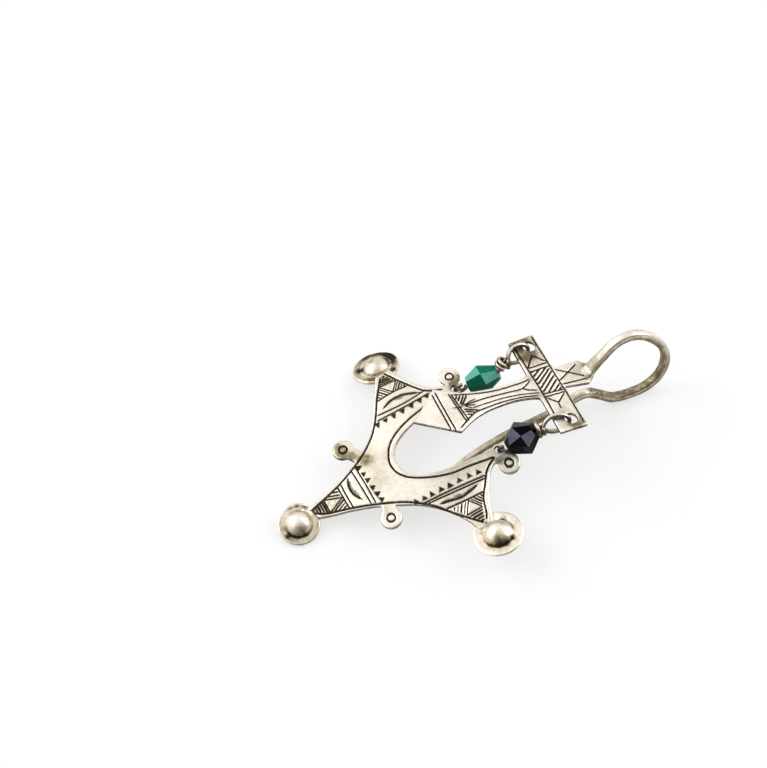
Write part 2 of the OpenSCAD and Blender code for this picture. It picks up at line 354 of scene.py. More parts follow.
loops = [np.vstack([smooth(side) for side in (left_side, lower_side, near_side, notch, far_side)])]
for lug, neck in side_lugs:
    loops += [circle(lug, LUG_R, 48)[:-1], bar_loop(lug, neck, SIDE_NECK)]
for lug, small in horn_lugs:
    loops += [circle(lug, LUG_R, 48)[:-1], circle(small, EYE_LUG_R, 36)[:-1], bar_loop(lug, small, HORN_NECK)]
star = Sheet(loops, [(np.array(small), EYE_HOLE_R) for _, small in horn_lugs])

# Engraved border lines of the star
for border in (
        [(25.6, 15.9), (23.2, 12.9), (20.6, 9.1), (18.1, 6.4), (14.4, 4), (9.8, 2.25), (6, 1.4), (2.7, 0.85)],
        [(2.7, 0.75), (4.7, -0.9), (6.8, -1.85), (9.4, -3), (12.5, -4.5), (15.9, -6.4), (18, -7.9),
         (20.4, -10.2), (22.5, -13.1), (25.8, -17)],
        [(33.4, -7.9), (31.2, -9.1), (29.4, -11.2), (27.8, -13.2), (26.9, -15.4), (25.9, -17)],
        [(33.2, 7.3), (30.4, 6.9), (27.3, 6.3), (25, 5.8), (22.6, 5), (20.3, 3.7), (18.9, 2), (18.2, 0.3),
         (18.3, -1.5), (19.2, -3.1), (20.9, -4.5), (23.3, -5.8), (26, -6.7), (29, -7.1), (33.4, -7.8)],
        [(26.6, 16.5), (27.8, 13.9), (29.2, 11.3), (30.7, 9.2), (33.2, 7.9)]):
    star.line(border, width=0.43, depth=0.15, curve=True)

# Double and single lines across its arms
for band in (
        [(20.6, 8.6), (25.6, 8.4), (31, 8.5)], [(21.2, 9.5), (26, 9.1), (30.5, 9.4)],
        [(19, -8.8), (24.4, -9.25), (30.4, -9.9)], [(19.5, -9.2), (24.4, -9.75), (29.9, -10.3)],
        [(13.1, 3.5), (12.9, -0.6), (12.6, -4.3)], [(12.2, 3.3), (12.05, -0.9), (11.9, -4)],
        [(9.5, 2.2), (9.25, -0.2), (9.1, -3)], [(8.8, 2.1), (8.65, -0.1), (8.5, -2.7)],
        [(22.6, 12), (25.6, 12.15), (28.7, 11.9)], [(21.6, -11.6), (24.9, -11.95), (28.6, -12.2)]):
    star.line(band, width=0.34, depth=0.13, curve=True)

# Rows of punched triangles, their points towards the star's middle
for row, way in (
        ([(20.3, 7.9), (21.9, 7.9), (23.5, 7.85), (25.2, 7.85), (27, 7.9), (28.75, 7.95), (30.2, 8.05)],
         (-0.05, -1)),
        ([(18.1, -7.9), (19.6, -8.05), (21, -8.15), (22.75, -8.25), (24.35, -8.35), (26.15, -8.4),
          (27.95, -8.55), (29.6, -8.8)], (0.02, 1)),
        ([(13.55, 2.8), (13.6, 1.3), (13.6, 0), (13.6, -1.6), (13.65, -3), (13.75, -4.3)], (1, 0))):
    for k, at in enumerate(row):
        star.punch(at, way, 1.08 + 0.12 * math.sin(5 * k), 0.86 + 0.1 * math.sin(3 * k + 1))

# A curved leaf, shaded by short cuts on its inner side
SHADE_REACH, SHADE_PITCH = 0.75, 0.27


def leaf(points, way):
    arc = smooth(points, 8)
    star.line(arc, width=0.46, depth=0.15, taper=1.2)
    starts = even(arc, SHADE_PITCH)[2:-2]
    way = unit(way)
    lean = np.array([-way[1], way[0]]) * 0.25
    for k, at in enumerate(starts):
        swell = math.sin(math.pi * (k + 1.5) / (len(starts) + 2)) ** 0.7
        size = SHADE_REACH * swell * (0.9 + 0.2 * math.sin(7 * k))
        star.line([at, at + (way + lean) * size], width=0.2, depth=0.08)


leaf([(22.7, 10.1), (24.4, 10.8), (26.4, 10.85), (28.1, 10.3), (29.6, 9.5)], (0, -1))
leaf([(21.2, -10.3), (22.9, -10.7), (24.8, -11.15), (26.5, -11), (28.4, -10.6)], (0, 1))
leaf([(11.1, 2.3), (10.4, 0.9), (10.35, -0.8), (11.1, -2.5)], (1, 0))


# An arm's end, with corners a, b and t: a plain triangle between its sides, and cuts across the corners
def arm_end(a, b, t, ab, at, bt, counts=(4, 4, 4)):
    a, b, t, ab, at, bt = [np.array(point, float) for point in (a, b, t, ab, at, bt)]
    for side in ((ab, at), (ab, bt), (at, bt)):
        star.line(side, width=0.3, depth=0.12, taper=0.4)
    ends = ((a, ab, at, 0.33), (b, ab, bt, 0.33), (t, at, bt, 0.42))
    for (corner, first, last, width), count in zip(ends, counts):
        for k in range(1, count + 1):
            part = k / (count + 0.8)
            one, two = corner + (first - corner) * part, corner + (last - corner) * part
            slip = (two - one) * 0.04 * math.sin(4 * k)
            cut = [one + slip, (one + two) / 2 + slip * 1.5, two + slip]
            star.line(cut, width + 0.07 * math.sin(9 * k), depth=0.12, taper=0.35)


arm_end((22.9, 12.3), (28.6, 12.1), (26.2, 16.3), (25.9, 12.2), (24.4, 14.4), (27.6, 14))
arm_end((22.2, -12.1), (28.3, -12.4), (25.7, -16.8), (25.5, -12.2), (23.9, -14.3), (26.9, -14.3))
arm_end((8.5, 1.8), (8.3, -2.4), (2.9, 0.75), (8.5, -0.15), (5.7, 1.3), (5.5, -1.3), (2, 3, 5))

# Ring stamps on the four lugs
for lug, _ in side_lugs + horn_lugs:
    star.line(circle(lug, 0.68, 28), width=0.42, depth=0.16, taper=0.01)


def uneven(u, v, size, pitch, seed):
    return np.array([size * noise.noise(Vector((x / pitch, y / pitch, seed))) for x, y in zip(u, v)])


# The star's height: its dome, its dents, and the lug by the dark bead, which is bent down
def star_height(u, v):
    lug = u > 33.2
    bend = np.clip(-8.2 - v, 0, 4) * lug * 0.14
    bend += np.clip(-8 - v, 0, 1) * lug * np.clip(36.7 - u, 0, 3.5) * 0.2
    return dome_z(u, v) - bend + uneven(u, v, 0.05, 3.4, 1.5) + uneven(u, v, 0.02, 1.1, 5.5)


# Its stains: along, across, radius, strength
star.stains = [
    (12.6, 7.6, 1.7, 0.85), (13.6, 5.3, 1.1, 1), (13.4, -5.9, 1, 0.4), (15.3, 3.3, 1.5, 1.1),
    (35.3, 7.4, 1.3, 1.5), (36.8, 8.7, 0.9, 1.1), (33.9, -8.9, 0.6, 0.6), (33.6, 9.2, 0.7, 0.6),
    (12, 6.2, 0.7, 0.8), (12.6, 8.9, 0.7, 0.6), (25.8, 15.2, 2, 0.6), (5, 0, 2.6, 0.6),
    (25.6, -15.4, 2, 0.3), (18.6, 2.2, 1.5, 0.3), (15.5, -0.8, 2.2, 0.3), (28, 9.6, 3.5, 0.25),
    (31.5, -8.5, 1.6, 0.2)]
pendant = Body()
star.grow(pendant, PENDANT, star_height)

# Bosses: a disc with a hollow dome hammered up in it, which dips under the star's sheet at its arm
DISC_T, DOME_WALL = 0.6, 0.55
SEGMENTS = 120
DIP_WIDE, DIP_DEPTH = 1.1, 0.12


def frame_to(facing):
    z = unit(facing)
    x = unit(np.cross([0, 1, 0], z))
    return np.column_stack([x, np.cross(z, x), z])


# Its section from the middle of the dome round the rim to the hollow: radius, height, grime, wear
def boss_section(disc_r, foot_r, rise, dirt):
    ball = (foot_r ** 2 + rise ** 2) / (2 * rise)
    hollow = ball - DOME_WALL
    top = DISC_T / 2
    section = []
    for r in np.linspace(0, foot_r + 0.5, 34):
        cap = math.sqrt(max(ball ** 2 - r ** 2, 0)) - ball + rise
        blended = 0.5 * (cap + math.sqrt(cap * cap + 0.004))
        # A narrow darker ring round the dome's foot
        section.append((r, top + blended, 0.6 * math.exp(-((r - foot_r) / 0.2) ** 2) + dirt * 0.3, 0))
    for r in np.arange(foot_r + 0.7, disc_r - 0.35, 0.2):
        section.append((r, top, dirt, 0))
    for r, z, wear in ((disc_r - 0.28, top, 0.4), (disc_r - 0.1, top - 0.06, 1), (disc_r, top - 0.2, 1),
                       (disc_r, 0, 0.6), (disc_r, 0.2 - top, 0.6), (disc_r - 0.12, 0.03 - top, 0.3),
                       (disc_r - 0.5, -top, 0), (foot_r, -top, 0)):
        section.append((r, z, dirt * 0.7, wear * (1.15 - dirt)))
    for r in np.linspace(foot_r - 0.35, 0, 10):
        roof = top + rise - ball + math.sqrt(max(hollow ** 2 - r ** 2, 0))
        section.append((r, max(roof, -top), BACK_GRIME, 0))
    return section


# A boss, with its marks as x, y, radius, strength: on the dome's lower side, at its foot and below its top,
# the marks are painted shade and reflection; elsewhere they are tarnish
def boss(centre, facing, disc_r, foot_r, rise, dirt, seed, marks):
    section = boss_section(disc_r, foot_r, rise, dirt)
    points, grime_and_shade = [], []
    for r, z, dirty, _ in section:
        for a in np.arange(SEGMENTS) * 2 * math.pi / SEGMENTS:
            wave = 1 + 0.02 * noise.noise(Vector((math.cos(a) * 1.4, math.sin(a) * 1.4, seed)))
            x, y = r * wave * math.cos(a), r * wave * math.sin(a)
            dent = 0.03 * noise.noise(Vector((x / 0.8, y / 0.8, seed + 3)))
            dent += 0.07 * noise.noise(Vector((x / 1.9, y / 1.9, seed)))
            points.append((x, y, z + (dent if z > 0 else 0)))
            grime_and_shade.append(dirty + sum(strength * math.exp(-((x - mx) ** 2 + (y - my) ** 2) / size ** 2)
                                     for mx, my, size, strength in marks))
    faces = []
    for k in range(len(section) - 1):
        for j in range(SEGMENTS):
            a, b = k * SEGMENTS + j, k * SEGMENTS + (j + 1) % SEGMENTS
            faces.append((a, a + SEGMENTS, b + SEGMENTS, b))
    local = np.asarray(centre) + np.array(points) @ frame_to(facing).T
    height, wear = np.repeat([(row[1], row[3]) for row in section], SEGMENTS, axis=0).T
    under = np.clip(star.rim(local[:, :2]) / DIP_WIDE + 1, 0, 1)
    under = under * under * (3 - 2 * under)
    lid = dome_z(local[:, 0], local[:, 1]) + SHEET_T / 2 - DIP_DEPTH
    over_lid = np.maximum(local[:, 2] + np.where(height < 0, DISC_T, 0) - lid, 0)
    local[:, 2] -= under * (height < DISC_T / 2 + 0.1) * over_lid
    grime_and_shade = np.array(grime_and_shade)
    pendant.add(placed(PENDANT, local), faces, np.clip(grime_and_shade - 0.9, 0, 1), grime_and_shade, wear)


boss((0.15, 0.25, -1.2), (-0.01, -0.235, 0.97), disc_r=3.6, foot_r=2.25, rise=1.5, dirt=0.4, seed=1.0, marks=[
    (-2, -1.2, 0.8, 0.55), (-1.3, -1.9, 0.7, 0.95), (0, -2.05, 0.7, 0.9), (-2.6, -0.7, 0.6, 0.9),
    (-2.4, 0.6, 0.5, 0.8), (0.1, 3, 0.5, 0.7), (1.3, 2.7, 0.5, 0.7), (2.2, 1.9, 0.6, 0.5),
    (-0.2, -1, 0.8, 0.4), (2.4, -2.1, 1.2, 0.3)])
boss((26.4, 19.05, -3), (0.07, 0.39, 0.92), disc_r=4.15, foot_r=2.3, rise=1.2, dirt=0.7, seed=2.0, marks=[
    (3.5, 0.5, 1, 1.8), (3.2, 1.8, 0.9, 1.2), (2.2, 3.3, 0.9, 0.7), (0.6, 3.6, 0.8, 0.5),
    (-0.8, 3.5, 1, 0.5), (-2.5, 1.1, 0.7, 1.1), (1.9, -2.9, 0.6, 1), (2.7, -1, 0.7, 0.8),
    (-0.4, 0.6, 0.5, 0.7), (0.3, 1.1, 0.4, 0.6), (-1.6, -2.7, 1.6, 0.5)])
boss((26.3, -19.75, -1.15), (0, 0.145, 0.99), disc_r=4.2, foot_r=2.6, rise=1.55, dirt=0.18, seed=3.0, marks=[
    (-2.2, -1.3, 0.8, 0.6), (-1.2, -2.2, 0.8, 0.8), (0.1, -2.6, 0.6, 1.1), (1.5, -2.3, 0.55, 1.15),
    (0.8, -1.9, 0.5, 0.4), (-0.4, -0.9, 0.8, 0.5), (-0.6, -1.7, 0.8, 0.6), (2.1, 1.7, 0.6, 0.6),
    (3, -0.2, 0.9, 0.4), (-2.6, 0, 0.9, 0.3)])

# The hook piece's plate: a blade with a diamond end, a crossbar and a tab
blade_top = [[-18.8, 5.15], [-16.2, 3.7], [-13.9, 2.65], [-9.8, 2.1], [-5.6, 1.9], [-3.6, 2.3],
             [-2.2, 3.3]]
blade_foot = [[-2.2, -3.2], [-3.6, -2.3], [-7, -1.75], [-11.1, -2.05], [-14.1, -2.8], [-16, -3.7],
              [-18.1, -4.95]]
diamond_point = [[-24.5, -0.4]]
crossbar = [[-2.95, -10.6], [2, -10.5], [2.35, 11.05], [-2.4, 10.5]]
tab = [[2, -1.7], [6.5, -2.3], [8.1, -0.9], [8, 1.9], [7.5, 2.3], [6.9, 3.05], [2, 2.8]]
bar_holes = [[0.6, 8.7], [0, -8.4]]
BAR_HOLE_R = 1.1

blade = np.vstack([smooth(blade_top), smooth(blade_foot), diamond_point])[::-1]
plate = Sheet([blade, np.array(crossbar), np.array(tab)],
              [(np.array(hole), BAR_HOLE_R) for hole in bar_holes])

# Its bold lines, on the blade first, then on the crossbar and the tab
for bold in (
        [(-19.4, 4.1), (-19.5, -4.2)], [(-18.75, 4.4), (-18.8, -4.5)],
        [(-16.8, 3.4), (-16.35, -3.4)], [(-16.4, 3.2), (-15.9, -3.2)],
        [(-17.3, 0.25), (-15.7, -0.05)],
        [(-16.3, 2.9), (-11.9, 1.75), (-8.5, 1.35), (-4.6, 1.5), (-2.7, 1.8)],
        [(-15.4, 0.15), (-11.4, 0.4), (-7.1, 0.25), (-4.7, 0.3), (-2.75, 1.5)],
        [(-17.9, -4.2), (-16.2, -3), (-15.1, -2.3), (-14.1, -1.85), (-12.2, -1.6), (-8.9, -1.35),
         (-5.5, -1.5), (-2.9, -2.1)],
        [(-4.7, 0.3), (-3.9, -0.4), (-2.5, -0.9)],
        [(-1.95, 9.4), (-1.95, 3), (-2, -2.9), (-2.2, -7)],
        [(1.95, 10.6), (1.95, 4.5), (1.85, -3), (1.65, -10)],
        [(-1.9, 4), (0.05, 6.6), (1.75, 4.6)],
        [(-1.9, 4.05), (1.9, 4.35)], [(-2, 3.2), (1.9, 3.5)],
        [(-2, -2.05), (1.75, -2.2)], [(-2.05, -2.75), (1.7, -2.7)],
        [(-1.7, -3.1), (-0.4, -4.55), (1.5, -2.9)], [(-0.4, -4.55), (-0.55, -5.9)],
        [(2, -0.2), (6.2, 2.3)], [(2.3, 2.4), (6.6, -0.8)], [(2.1, -1.1), (6.7, -1.3)]):
    plate.line(bold, width=0.36, depth=0.13, taper=0.6, curve=len(bold) > 3)

# A fine line along the blade and the arrow's three barbs
for fine in (
        [(-14.3, -0.85), (-9.3, -0.6), (-5.1, -0.95), (-2.5, -1.6)],
        [(-15.3, 0.25), (-14.2, 0.65), (-13.1, 0.75)],
        [(-15.3, 0), (-14.3, -0.85)], [(-15.3, 0.1), (-13.5, -0.4)]):
    plate.line(fine, width=0.3, depth=0.1, curve=len(fine) > 3)

# Cuts in the two corners beside the arrow
for corner_cut in (
        [(-14.05, 2.1), (-15.7, 0.2)], [(-14.6, 2.2), (-15.85, 0.6)], [(-15.15, 2.35), (-15.95, 1.3)],
        [(-15.7, 2.5), (-16.1, 1.8)], [(-15.75, -0.6), (-13.6, -1.6)], [(-15.75, -1.15), (-14.4, -1.7)],
        [(-15.7, -1.8), (-14.9, -2.1)]):
    plate.line(corner_cut, width=0.4, depth=0.12, taper=0.35)

# Slanting cuts across the crossbar's middle
for cut in (
        [(-1.9, 3), (-1.1, 3.3)], [(-1.9, 2), (0.1, 3.45)], [(-1.9, 1.05), (1.1, 3.35)],
        [(-1.85, 0.2), (1.6, 3)], [(-1.8, -0.75), (1.7, 2.3)], [(-1.75, -1.6), (1.7, 1.35)],
        [(-0.95, -1.95), (1.65, 0.3)], [(0, -2.05), (1.65, -0.8)], [(0.85, -2.1), (1.65, -1.6)]):
    plate.line(cut, width=0.42, depth=0.14)


def plate_height(along, across):
    return uneven(along, across, 0.05, 4.0, 9.5) + uneven(along, across, 0.018, 1.2, 4.5)


# Its stains: along, across, radius, strength
plate.stains = [
    (0.3, 10, 2.2, 0.9), (-1.4, 9.9, 1.2, 1.3), (-1.6, 8.2, 1.2, 1.8), (-1.2, 6.6, 1.5, 1),
    (0.6, 7, 1.2, 0.6), (0.2, -9.6, 1.8, 1.1), (-0.8, -7, 1.4, 0.6), (5.8, 0.6, 2.2, 0.45),
    (7.6, 1.4, 0.9, 0.9), (7.2, -1.2, 0.8, 0.8), (-2.4, 1.8, 1.2, 0.5), (-2.3, -2.3, 1.2, 0.5),
    (-15.6, 0, 1.8, 0.35), (0, 5, 1.6, 0.35), (1.6, -4.6, 1.6, 0.3)]
hook = Body()
plate.grow(hook, HOOK, plate_height)

# The ear wire: along, across, up, width, thickness
hook_wire = [
    [6.4, 0.2, 0, 2.5, 0.7], [7.6, 0.3, 0.2, 2.5, 0.9], [8.4, 0.3, 1.2, 2.2, 1.2],
    [9.4, 0.1, 2.9, 1.9, 1.4], [11.5, 0, 5.5, 1.7, 1.5], [13.9, 0, 6.45, 1.6, 1.5],
    [16.6, 0, 5.95, 1.6, 1.5], [19.5, 0, 3.8, 1.6, 1.5], [21.7, 0, 0.9, 1.6, 1.5],
    [22.6, 0, -2.4, 1.6, 1.5], [22, 0, -5.5, 1.6, 1.5], [20.2, 0, -7.5, 1.6, 1.5],
    [17.2, 0, -8.45, 1.6, 1.5], [13.6, 0, -8.35, 1.6, 1.5], [10.9, 0, -6.8, 1.6, 1.5],
    [8.8, 0, -5.5, 1.6, 1.5], [7.1, 0, -5.2, 1.6, 1.5], [5.5, 0.1, -6, 1.5, 1.45],
    [3.9, 0.3, -7.35, 1.4, 1.4], [1.1, 0.4, -8.7, 1.3, 1.3], [-3, 0.5, -9.95, 1.25, 1.2],
    [-7.6, 0.3, -11.25, 1.25, 1.05], [-12, -0.3, -12.35, 1.15, 0.85],
    [-14.8, -0.8, -13.05, 0.85, 0.6], [-16.6, -1.15, -13.5, 0.25, 0.3]]
BEND_MIDDLE = np.array([15.3, 0, -1.2])
BEND_START = 8


# Skin over sections set square to a path, closed at both ends, and which way up each point faces
def sweep(path, side, section, seed, dent):
    path, side = np.asarray(path, float), np.asarray(side, float)
    n, m = len(path), len(section(0))
    ways = [unit(path[min(i + 1, n - 1)] - path[max(i - 1, 0)]) for i in range(n)]
    points, upward = [], []
    for i in range(n):
        across = unit(side[i] - (side[i] @ ways[i]) * ways[i])
        over = np.cross(ways[i], across)
        for x, y in section(i):
            at = path[i] + x * across + y * over
            out = unit(x * across + y * over)
            pits = noise.noise(Vector(at / 1.3) + Vector((seed, 0, 0)))
            pits += 0.5 * noise.noise(Vector(at / 0.5) + Vector((seed, 9, 0)))
            points.append(at + out * dent * pits)
            upward.append(out[2])
    faces = [(i * m + j, (i + 1) * m + j, (i + 1) * m + (j + 1) % m, i * m + (j + 1) % m)
             for i in range(n - 1) for j in range(m)]
    first, last = len(points), len(points) + 1
    points += [path[0], path[-1]]
    faces += [(first, j, (j + 1) % m) for j in range(m)]
    faces += [(last, (n - 1) * m + (j + 1) % m, (n - 1) * m + j) for j in range(m)]
    return np.array(points), [face[::-1] for face in faces], np.array(upward + [0, 0])


def squarish(width, thick):
    out = []
    for a in np.arange(24) * 2 * math.pi / 24:
        c, s = math.cos(a), math.sin(a)
        r = (abs(c) ** 3.6 + abs(s) ** 3.6) ** (-1 / 3.6)
        out.append((width / 2 * r * c, thick / 2 * r * s))
    return out


# The ear wire: painted shade on its downward faces, pitted tarnish and painted shade on the inner side of its
# bend, and darker on the tail below the crossbar
def add_ear_wire():
    rows = smooth(hook_wire, 10)
    points, faces, upward = sweep(rows[:, :3], [(0, 1, 0)] * len(rows),
                                  lambda i: squarish(rows[i][3], rows[i][4]), 2.0, 0.035)
    x = points[:, 0]
    around = points[:-2].reshape(len(rows), -1, 3) - rows[:, None, :3]
    inwards = BEND_MIDDLE - rows[:, :3]
    inwards /= np.linalg.norm(inwards, axis=1)[:, None]
    inner = (around * inwards[:, None]).sum(2) / np.linalg.norm(around, axis=2)
    inner = np.append(np.clip(inner.ravel() * 1.5 - 0.3, 0, 1), [0, 0]) * (x > BEND_START)
    pitted = uneven(x, points[:, 1] + points[:, 2] * 1.7, 1.0, 0.55, 3.0)
    pitted = np.clip(pitted * 1.6 + 0.5, 0, 1)
    # Painted shade: the more a face turns down, the darker it is; the inner side of the bend adds pitted
    # tarnish and painted shade
    grime_and_shade = np.clip(0.85 - upward, 0.1, 1.2) + inner * (0.7 + 0.6 * pitted)
    grime_and_shade += np.clip((6 - x) / 6, 0, 1) * 0.7 - np.clip((-6 - x) / 6, 0, 1) * 0.3
    # Its undersides also get painted shade in the groove value
    hook.add(placed(HOOK, points), faces, np.clip(-upward - 0.5, 0, 0.5), grime_and_shade, 0.0)


add_ear_wire()

# The two bead wires and beads, the green bead's values first
BEAD_L, WIRE_R, EYE_R, RING_R, COIL_R = 5.7, 0.33, 0.95, 1.5, 0.95
EYE_OFFSET, RING_SLACK, COIL_GAP, COIL_PITCH, BEAD_PLAY = 1.0, 0.25, 0.2, 0.72, 0.07
TURN_STEPS, WIRE_SIDES = 16, 14
ring_long = [2.1, 2.3]
coil_turns = [2, 1.25]
coil_wide = [1.08, 1.2]
stems = [[0.875, -0.28, 0.395], [0.64, -0.25, 0.715]]
pulls = [[0.99, -0.03, 0.07], [0.93, -0.32, 0.14]]
coil_ways = [[0.69, 0.21, 0.69], [0.96, -0.02, 0.29]]
faces_to = [[-0.1, -0.83, 0.52], [-0.37, -0.79, 0.47]]


def bead_seat(i):
    u, v = horn_lugs[i][1]
    lug = placed(PENDANT, [u, v, float(dome_z(u, v))])
    stem = unit(stems[i])
    eye = lug + EYE_OFFSET * unit([stem[0], stem[1], 0])
    bead = eye + (EYE_R + WIRE_R + BEAD_PLAY + BEAD_L / 2) * stem
    return stem, eye, bead


def ring_seat(i):
    pull = unit(pulls[i])
    hole = placed(HOOK, [bar_holes[i][0], bar_holes[i][1], 0])
    ring = hole - (ring_long[i] + RING_SLACK) * pull
    knot = ring - (ring_long[i] + COIL_GAP) * pull
    return pull, ring, knot


def axes(along, facing):
    facing = np.asarray(facing, float)
    z = unit(facing - (facing @ along) * along)
    return np.column_stack([along, np.cross(z, along), z])


# The wire's route: its coil, the ring, the stem through the bead, and the eye, with three of their middles
def bead_wire_route(i):
    stem, eye, bead = bead_seat(i)
    pull, ring, knot = ring_seat(i)
    end = bead + (BEAD_L / 2 + BEAD_PLAY) * stem
    coil_axes, ring_axes = axes(unit(coil_ways[i]), faces_to[i]), axes(pull, faces_to[i])
    eye_axes = axes(stem, np.cross(stem, [0, 0, 1]))
    path = []
    for k in np.arange(TURN_STEPS * coil_turns[i], -0.1, -1):
        a = math.radians(90 + 360 / TURN_STEPS * k)
        across, up = coil_wide[i] * math.cos(a), coil_wide[i] * math.sin(a)
        path.append(knot + coil_axes @ [-COIL_PITCH * k / TURN_STEPS, across, up])
    for degrees in range(10, 350, 8):
        a = math.radians(degrees)
        aside = COIL_R * max(0, 1 - degrees / 75)
        path.append(ring + ring_axes @ [-ring_long[i] * math.cos(a), RING_R * math.sin(a), aside])
    path += [knot, knot + (end - knot) * 0.5, end, bead, eye + eye_axes @ [EYE_R + 0.5, 0, 0],
             eye + eye_axes @ [EYE_R + 0.08, -0.06, 0]]
    for degrees in range(20, 316, 12):
        a = math.radians(degrees)
        path.append(eye + eye_axes @ [EYE_R * math.cos(a), -EYE_R * math.sin(a), 0])
    return smooth(path, 2), eye, ring, knot


# Round wire along it, a little thicker at the ring, with painted shade on its downward faces, a painted
# shadow at the eye and darker at the coil
def bead_wire(i):
    path, eye, ring, knot = bead_wire_route(i)
    ways = np.gradient(path, axis=0)
    ways /= np.linalg.norm(ways, axis=1)[:, None]
    sides = [unit(np.cross(ways[0], [0.3, 0.2, 0.9]))]
    for way in ways[1:]:
        sides.append(unit(sides[-1] - (sides[-1] @ way) * way))
    round_wire = WIRE_R * circle((0, 0), 1, WIRE_SIDES)[:-1]
    thick = 1 + 0.15 * np.clip(1.6 - np.linalg.norm(path - ring, axis=1) / ring_long[i], 0, 1)
    points, faces, upward = sweep(path, sides, lambda k: thick[k] * round_wire, 5.0 + i, 0.015)
    eye_shadow_and_coil_dark = 0.9 * np.exp(-((path - eye) ** 2).sum(1) / 2.2)
    eye_shadow_and_coil_dark += 0.5 * np.exp(-((path - knot) ** 2).sum(1) / 1.5)
    eye_shadow_and_coil_dark = np.append(np.repeat(eye_shadow_and_coil_dark, WIRE_SIDES), [0, 0])
    body = Body()
    # Painted shade below, painted shadow at the eye, darker at the coil
    body.add(points, faces, np.clip(0.1 - upward + eye_shadow_and_coil_dark * 0.3, 0, 0.9),
             np.clip(1.95 - 2 * upward + eye_shadow_and_coil_dark, 0.05, 1.6), 0.0)
    return body


# Hand-cut beads: corners as (along the wire, degrees round it from the front, radius)
BACK_CORNERS = [(along, degrees, 1.3) for along in (-2.85, 2.85) for degrees in (-150, -105, 150, 105)]
corners = [
    [(-0.2, -74, 2.55), (0.3, -22, 2.5), (0.5, 28, 2.4), (0.4, 74, 2.5), (0.1, 120, 2.55), (0, 165, 2.6),
     (0, -150, 2.6), (-0.1, -110, 2.6), (2.8, -17, 1.35), (2.8, -66, 1.35), (2.8, 40, 1.35), (2.8, 88, 1.35),
     (-2.7, -28, 1.4), (-2.8, -80, 1.35), (-2.8, 24, 1.35), (-2.8, 70, 1.35)],
    [(0.2, -60, 2.95), (1.25, -14, 2.45), (1.05, 40, 2.6), (0.1, 78, 3.1), (0, 122, 3.1), (-0.2, 165, 3.1),
     (-0.2, -150, 3.1), (-0.2, -105, 3.1), (2.85, -20, 1.25), (2.85, -65, 1.3), (2.85, 35, 1.25),
     (2.8, 80, 1.45), (-1.75, -8, 2.2), (-0.9, -42, 2.65), (-2.85, -43, 1.6), (-2, -78, 2.1),
     (-2.85, 18, 1.6), (-2.5, 62, 1.8)]]
FACET_EDGE = 0.05
FACET_ANGLE = math.radians(14)
SPOT_REACH, PLAIN_FACET_LIGHT = 0.8, 0.02


# A bead, where each facet takes the painted light of the nearest spot, standing in for its reflections and
# the light through the glass: along, degrees round, radius, painted light
def bead_piece(i, name, material, node, spots):
    stem, _, bead = bead_seat(i)
    x = unit(TO_CAMERA - (TO_CAMERA @ stem) * stem)
    y = np.cross(stem, x)

    def at(along, degrees, r):
        a = math.radians(degrees)
        return Vector((bead + stem * along + r * (math.cos(a) * x + math.sin(a) * y)) * MM)

    shape = bmesh.new()
    for corner in corners[i] + BACK_CORNERS:
        shape.verts.new(at(*corner))
    bmesh.ops.convex_hull(shape, input=shape.verts)
    bmesh.ops.delete(shape, geom=[v for v in shape.verts if not v.link_faces], context="VERTS")
    bmesh.ops.dissolve_limit(shape, angle_limit=FACET_ANGLE, verts=shape.verts, edges=shape.edges)
    layer = shape.faces.layers.float.new("tone")
    for face in shape.faces:
        middle = face.calc_center_median()
        gap, tone = min(((middle - at(*spot[:3])).length, spot[3]) for spot in spots)
        face[layer] = tone if gap < SPOT_REACH * MM else PLAIN_FACET_LIGHT
    bmesh.ops.bevel(shape, geom=shape.edges[:], offset=FACET_EDGE * MM, segments=2, profile=0.5,
                    affect="EDGES")
    bmesh.ops.recalc_face_normals(shape, faces=shape.faces)
    mesh = bpy.data.meshes.new(name)
    shape.to_mesh(mesh)
    shape.free()
    make_piece(name, mesh, material, node)


# Shader maths: a socket that takes part in Python expressions
class Value:
    def __init__(self, tree, socket=None):
        self.tree, self.socket = tree, socket

    def node(self, kind, settings=(), out=0, **values):
        made = self.tree.nodes.new("ShaderNode" + kind)
        for name, value in dict(settings).items():
            setattr(made, name, value)
        for name, value in values.items():
            numbered = name[0] == "i" and name[1:].isdigit()
            socket = made.inputs[int(name[1:]) if numbered else name.replace("_", " ")]
            if isinstance(value, Value):
                self.tree.links.new(value.socket, socket)
            else:
                socket.default_value = value
        return Value(self.tree, made.outputs[out])

    def maths(self, operation, a, b=0.0, clamp=False):
        return self.node("Math", {"operation": operation, "use_clamp": clamp}, i0=a, i1=b)

    def __add__(self, other):
        return self.maths("ADD", self, other)

    def __sub__(self, other):
        return self.maths("SUBTRACT", self, other)

    def __rsub__(self, other):
        return self.maths("SUBTRACT", other, self)

    def __mul__(self, other):
        return self.maths("MULTIPLY", self, other)

    __radd__, __rmul__ = __add__, __mul__

    def clamped(self):
        return self.maths("ADD", self, 0.0, True)

    def between(self, low, high):
        settings = {"interpolation_type": "SMOOTHSTEP"}
        return self.node("MapRange", settings, Value=self, From_Min=low, From_Max=high)

    def colour(self, a, b):
        return self.node("Mix", {"data_type": "RGBA"}, 2, i0=self, i6=a, i7=b)

    def painted(self, title):
        return self.node("Attribute", {"attribute_name": title}, 2)

    def millimetres(self, x=1.0, y=1.0, z=1.0):
        at = self.node("TexCoord", out=3)
        return self.node("VectorMath", {"operation": "MULTIPLY"}, i0=at, i1=(1000 * x, 1000 * y, 1000 * z))

    def cloud(self, at, scale, detail=3.0, rough=0.55):
        return self.node("TexNoise", Vector=at, Scale=scale, Detail=detail, Roughness=rough)

    def feed(self, shader, name):
        self.tree.links.new(self.socket, shader.inputs[name])


def new_material(name):
    material = bpy.data.materials.new(name)
    material.use_nodes = True
    return material, Value(material.node_tree), material.node_tree.nodes["Principled BSDF"]
